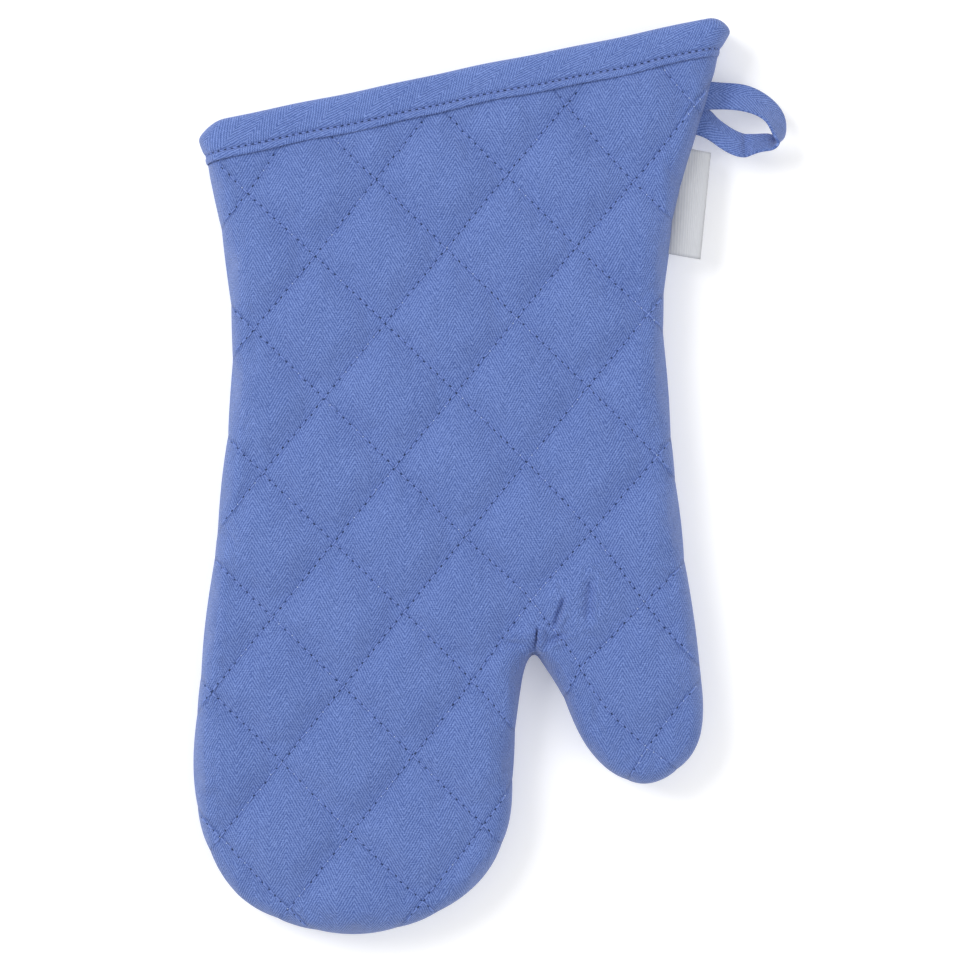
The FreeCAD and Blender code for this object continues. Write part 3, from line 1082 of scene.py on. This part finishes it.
def hanging_loop(material):
    """Tape between its two edges, raised along its middle, with a fold across its lower arm."""
    low, high = Spline(LOOP_LOW_EDGE), Spline(LOOP_HIGH_EDGE)
    shares = np.linspace(0, 1, LOOP_STATIONS)
    low_points = low.at(shares * low.knots[-1])
    high_points = high.at(shares * high.knots[-1])
    width_way = high_points - low_points
    middle = (low_points + high_points) / 2
    along = lengths_along(middle)
    normal = unit(np.cross(unit(np.gradient(middle, axis=0)), width_way))
    shape, cloth = [], []
    for share in np.linspace(0, 1, LOOP_COLUMNS):
        crown = LOOP_BULGE * (1 - (2 * share - 1) ** 2)
        shape.append(low_points + width_way * share + normal * crown)
        cloth.append(np.column_stack([share * np.linalg.norm(width_way, axis=1), along]))
    points = np.stack(shape, axis=1).reshape(-1, 3)
    cloth = np.stack(cloth, axis=1).reshape(-1, 2)
    lower_arm = np.repeat(shares > 0.5, LOOP_COLUMNS)
    fold = np.exp(-((points[:, 0] - LOOP_FOLD_X) / LOOP_FOLD_WIDTH) ** 2)
    points[:, 2] -= LOOP_FOLD_DEPTH * lower_arm * fold
    lift = np.repeat(normal, LOOP_COLUMNS, axis=0) * LOOP_TAPE_CLOTH / 2
    faces = [(a, d, c, b) for a, b, c, d in grid_faces(LOOP_STATIONS, LOOP_COLUMNS)]
    piece = layer_object("hanging_loop_tape", points + lift, points - lift, faces, cloth)
    round_off(piece)
    finish_piece(piece, material, "loop_tape", ["hanging_loop"])
    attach(piece, "loop")


def side_label(material):
    """Blank woven tab, folded at its free edge, with both ends in the seam."""
    out = np.array((LABEL_ALONG[1], -LABEL_ALONG[0]))
    points, cloth = [], []
    for share in np.linspace(0, 1, LABEL_ROWS):
        base = LABEL_ROOT + LABEL_ALONG * (LABEL_LENGTH * share)
        half = LABEL_REACH - LABEL_NARROWS * share + LABEL_IN_SEAM
        curl = LABEL_CURL * math.sin(share * 5.0 + 0.4)
        for around in np.linspace(-1, 1, LABEL_COLUMNS):
            outward = half * (1 - abs(around) ** 2.2)
            spread = LABEL_GAP * math.tanh(around * 6) + LABEL_SPREAD * around
            spot = base + out * (outward - LABEL_IN_SEAM)
            points.append((spot[0], spot[1], MID + spread + curl * outward / half))
            cloth.append((share * LABEL_LENGTH, around * half))
    points = np.array(points)
    faces = grid_faces(LABEL_ROWS, LABEL_COLUMNS)
    lift = vertex_normals(points, faces) * LABEL_PLY / 2
    piece = layer_object("side_label_tab", points + lift, points - lift, faces, np.array(cloth))
    finish_piece(piece, material, "label_satin", ["side_label"])
    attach(piece, "label")


# ======== materials

class Nodes:
    """Short ways to add and link shader nodes."""

    def __init__(self, name):
        self.material = bpy.data.materials.new(name)
        self.material.use_nodes = True
        self.tree = self.material.node_tree
        self.shader = self.tree.nodes["Principled BSDF"]

    def feed(self, node, inputs):
        """Gives a node's inputs their values, or links from other nodes."""
        for key, value in inputs.items():
            if isinstance(value, bpy.types.NodeSocket):
                self.tree.links.new(value, node.inputs[key])
            else:
                node.inputs[key].default_value = value

    def add(self, kind, inputs, **settings):
        """Adds a node and returns its outputs."""
        node = self.tree.nodes.new("ShaderNode" + kind)
        for key, value in settings.items():
            setattr(node, key, value)
        self.feed(node, inputs)
        return node.outputs

    def stored(self, name):
        """Coordinates that are stored with the mesh."""
        return self.add("Attribute", {}, attribute_name=name)["Vector"]

    def position(self):
        return self.add("NewGeometry", {})["Position"]

    def split(self, vector):
        """The first two numbers of a vector."""
        parts = self.add("SeparateXYZ", {0: vector})
        return parts["X"], parts["Y"]

    def math(self, operation, *inputs):
        return self.add("Math", dict(enumerate(inputs)), operation=operation)[0]

    def wave(self, value, pitch):
        """Sine from 0 to 1 with the given pitch."""
        sine = self.math("SINE", self.math("MULTIPLY", value, 2 * math.pi / pitch))
        return self.math("MULTIPLY_ADD", sine, 0.5, 0.5)

    def weighted(self, parts):
        """One half, plus each part's distance from one half times its weight."""
        total = 0.5
        for value, weight in parts:
            total = self.math("MULTIPLY_ADD", self.math("SUBTRACT", value, 0.5), weight, total)
        return total

    def noise(self, vector, scale, detail=2.0, roughness=0.5, output="Fac"):
        inputs = {"Vector": vector, "Scale": scale, "Detail": detail, "Roughness": roughness}
        return self.add("TexNoise", inputs)[output]

    def mapped(self, vector, turn=0.0, scale=(1, 1, 1)):
        inputs = {"Vector": vector, "Rotation": (0, 0, turn), "Scale": scale}
        return self.add("Mapping", inputs)["Vector"]

    def mix(self, share, a, b):
        return self.add("Mix", {"Factor": share, "A": a, "B": b}, data_type="RGBA")["Result"]

    def bump(self, height, distance):
        relief = self.add("Bump", {"Height": height, "Distance": distance})
        self.feed(self.shader, {"Normal": relief["Normal"]})

    def finish(self, colour, roughness, sheen=0.0, specular=0.2):
        self.feed(self.shader, {"Base Color": colour, "Roughness": roughness, "Sheen Weight": sheen,
                                "Sheen Roughness": 0.5, "Specular IOR Level": specular})
        return self.material


def shade(colour, factor):
    return tuple(min(1.0, c * factor) for c in colour) + (1.0,)


def herringbone(name, turn=0.0, lighter=1.0, shift=0.0, quilted=False):
    """Herringbone cotton: ribs that zigzag between columns, crossed by fine yarns."""
    n = Nodes(name)
    turned = n.mapped(n.stored("cloth"), turn)
    wander = n.noise(turned, 0.16, 3.0, output="Color")
    uneven = n.add("VectorMath", {0: wander, 1: (1, 1, 0), 2: turned}, operation="MULTIPLY_ADD")
    x, y = n.split(uneven[0])
    zigzag = n.math("PINGPONG", n.math("ADD", x, shift), HERRING_COLUMN)
    phase = n.math("DIVIDE", n.math("MULTIPLY_ADD", zigzag, HERRING_STEEP, y), HERRING_PITCH)
    rib = n.wave(phase, 1.0)
    yarn = n.math("MULTIPLY", n.wave(y, WEFT_PITCH), n.wave(x, WARP_PITCH))
    slub_up = n.noise(n.mapped(turned, 0.0, (2.6, 0.5, 1.0)), 1.0, 3.0, 0.6)
    slub_across = n.noise(n.mapped(turned, 0.0, (0.5, 2.6, 1.0)), 1.0, 3.0, 0.6)
    fuzz = n.noise(turned, 2.4, 2.0, 0.6)
    mottle = n.noise(turned, 0.05)
    tone = n.weighted([(rib, 0.6), (yarn, 0.45), (slub_up, 1.2), (slub_across, 1.3), (fuzz, 1.2),
                       (mottle, 0.25)])
    height = n.math("MULTIPLY_ADD", yarn, 0.4, rib)
    height = n.math("MULTIPLY_ADD", slub_up, 0.6, height)
    if quilted:
        crease_relief_and_shade, pucker = quilt_creases(n)
        # Painted shade: the cloth's colour is darkened in the creases along the stitched lines.
        tone = n.math("MULTIPLY_ADD", crease_relief_and_shade, -0.3, tone)
        height = n.math("MULTIPLY_ADD", crease_relief_and_shade, -2.2, height)
        height = n.math("MULTIPLY_ADD", pucker, 2.5, height)
    tone = n.math("MINIMUM", n.math("MAXIMUM", tone, 0.0), 1.0)
    n.bump(height, 0.00016)
    colour = n.mix(tone, shade(COTTON_DARK, lighter), shade(COTTON_LIGHT, lighter))
    return n.finish(colour, 0.85, sheen=0.25)


def quilt_creases(n):
    """Masks of the sharp creases along the stitched lines, which give them relief and painted shade, and
    of small puckers that cross them.
    """
    place = n.stored("quilt")
    creases, puckers = [], []
    stretches = ((4.0, 20.0, 1.0), (20.0, 4.0, 1.0))
    for number, spacing, stretch in zip(n.split(place), QUILT_SPACINGS, stretches):
        away = n.math("MULTIPLY", n.math("PINGPONG", number, 0.5), spacing)
        near = n.math("MAXIMUM", n.math("MULTIPLY_ADD", away, -1 / CREASE_WIDTH, 1.0), 0.0)
        creases.append(n.math("MULTIPLY", near, near))
        reach = n.math("MAXIMUM", n.math("MULTIPLY_ADD", away, -1 / PUCKER_REACH, 1.0), 0.0)
        waves = n.noise(n.mapped(place, 0.0, stretch), 1.0)
        puckers.append(n.math("MULTIPLY", reach, waves))
    return n.math("MAXIMUM", *creases), n.math("ADD", *puckers)


def plain_weave(name, colour):
    """Plain woven cotton for the lining."""
    n = Nodes(name)
    place = n.stored("cloth")
    over, under = [n.math("SINE", n.math("MULTIPLY", number, 2 * math.pi / LINING_PITCH))
                   for number in n.split(place)]
    weave = n.math("MULTIPLY_ADD", n.math("MULTIPLY", over, under), 0.5, 0.5)
    slub = n.noise(place, 0.9, 3.0, 0.6)
    tone = n.math("MULTIPLY_ADD", n.math("SUBTRACT", weave, 0.5), 0.3, slub)
    n.bump(n.math("ADD", weave, slub), 0.00012)
    return n.finish(n.mix(tone, shade(colour, 0.75), shade(colour, 1.2)), 0.9, sheen=0.1)


def wadding(name):
    """Felted white cotton fibre."""
    n = Nodes(name)
    place = n.stored("cloth")
    fibre = n.noise(n.mapped(place, 0.4, (0.4, 2.0, 1.0)), 1.2, 6.0, 0.7)
    clump = n.noise(place, 0.25, 3.0)
    n.bump(n.math("ADD", fibre, clump), 0.0004)
    return n.finish(n.mix(fibre, (0.74, 0.72, 0.68, 1), (0.9, 0.89, 0.86, 1)), 0.95, sheen=0.2)


def sewing_thread(name, colour):
    """Cotton thread with a fine twist."""
    n = Nodes(name)
    twist = n.noise(n.mapped(n.position(), 0.8), 2600.0)
    n.bump(twist, 0.00008)
    return n.finish(n.mix(twist, shade(colour, 0.85), shade(colour, 1.3)), 0.7, sheen=0.15)


def hole_shadow(name, colour):
    """Cloth deep in a needle hole, where little light gets in."""
    n = Nodes(name)
    speck = n.noise(n.position(), 1500.0)
    return n.finish(n.mix(speck, shade(colour, 0.10), shade(colour, 0.34)), 1.0, specular=0.0)


def satin(name):
    """Pale woven satin with fine ribs along the tab."""
    n = Nodes(name)
    place = n.stored("cloth")
    rib = n.wave(n.split(place)[1], SATIN_PITCH)
    slub = n.noise(n.mapped(place, 0.0, (0.2, 1.6, 1.0)), 1.5, 3.0, 0.6)
    tone = n.math("MULTIPLY_ADD", rib, 0.3, n.math("MULTIPLY", slub, 0.7))
    n.bump(n.math("ADD", rib, slub), 0.00005)
    colour = n.mix(tone, (0.48, 0.492, 0.52, 1), (0.66, 0.672, 0.70, 1))
    return n.finish(colour, 0.6, sheen=0.1, specular=0.3)


# ======== stage

def make_stage():
    """White table, lit a little from within as in a light tent."""
    corners = [(x * TABLE_REACH, y * TABLE_REACH, 0) for x, y in ((-1, -1), (1, -1), (1, 1), (-1, 1))]
    floor_mesh = plain_mesh("floor", corners, [(0, 1, 2, 3)])
    n = Nodes("white_table")
    grain = n.noise(n.position(), 40.0, 3.0)
    n.feed(n.shader, {"Emission Color": (1, 1, 1, 1), "Emission Strength": TABLE_GLOW})
    floor_mesh.materials.append(n.finish(n.mix(grain, (0.93, 0.93, 0.93, 1), (0.95, 0.95, 0.95, 1)), 0.9))
    add_object("floor", floor_mesh)


def soft_light(name, place, size, power):
    """Square lamp that points at the mitt."""
    light = bpy.data.lights.new(name, "AREA")
    light.shape = "SQUARE"
    light.size = size
    light.energy = power
    lamp = add_object(name, light)
    lamp.location = place
    lamp.rotation_mode = "QUATERNION"
    lamp.rotation_quaternion = (-Vector(place)).to_track_quat("-Z", "Y")


def make_lights():
    world = bpy.data.worlds.new("studio")
    world.use_nodes = True
    background = world.node_tree.nodes["Background"]
    background.inputs["Color"].default_value = (1, 1, 1, 1)
    background.inputs["Strength"].default_value = WORLD_LIGHT
    bpy.context.scene.world = world
    for softbox in SOFTBOXES:
        soft_light(*softbox)
    bpy.context.scene.view_settings.view_transform = "Standard"


def make_camera():
    camera = bpy.data.cameras.new("camera")
    camera.lens = LENS
    camera.sensor_width = SENSOR
    holder = add_object("camera", camera)
    holder.location = (*VIEW_CENTRE, MID * MM + VIEW_WIDTH * LENS / SENSOR)
    bpy.context.scene.camera = holder


# ======== making the mitt

make_camera()
PANEL = panel_mesh()
cotton = herringbone("herringbone_cotton", quilted=True)
bias_cotton = herringbone("bias_herringbone", turn=math.radians(45), lighter=1.05)
tape_cotton = herringbone("herringbone_tape", shift=1.2)
lining_cotton = plain_weave("lining_weave", LINING_BLUE)
wadding_material = wadding("cotton_wadding")
thread = sewing_thread("blue_thread", THREAD_BLUE)
pale_thread = sewing_thread("pale_lower_thread", LOWER_THREAD_BLUE)
painted_hole_shade = hole_shadow("needle_hole_shadow", COTTON_BLUE)
for number, (panel_side, panel_word) in enumerate(((1, "front"), (-1, "back"))):
    shell_sheet = make_sheet(panel_side, 11 + number)
    shell_layer(shell_sheet, panel_word, cotton)
    batting_layer(shell_sheet, panel_word, wadding_material)
    lining_layer(panel_side, panel_word, lining_cotton)
    quilting(shell_sheet, panel_word, thread, painted_hole_shade, pale_thread, 21 + number)
seam_stitches(thread)
cuff_binding(bias_cotton)
binding_stitches(thread, painted_hole_shade)
hanging_loop(tape_cotton)
side_label(satin("label_satin"))
make_stage()
make_lights()
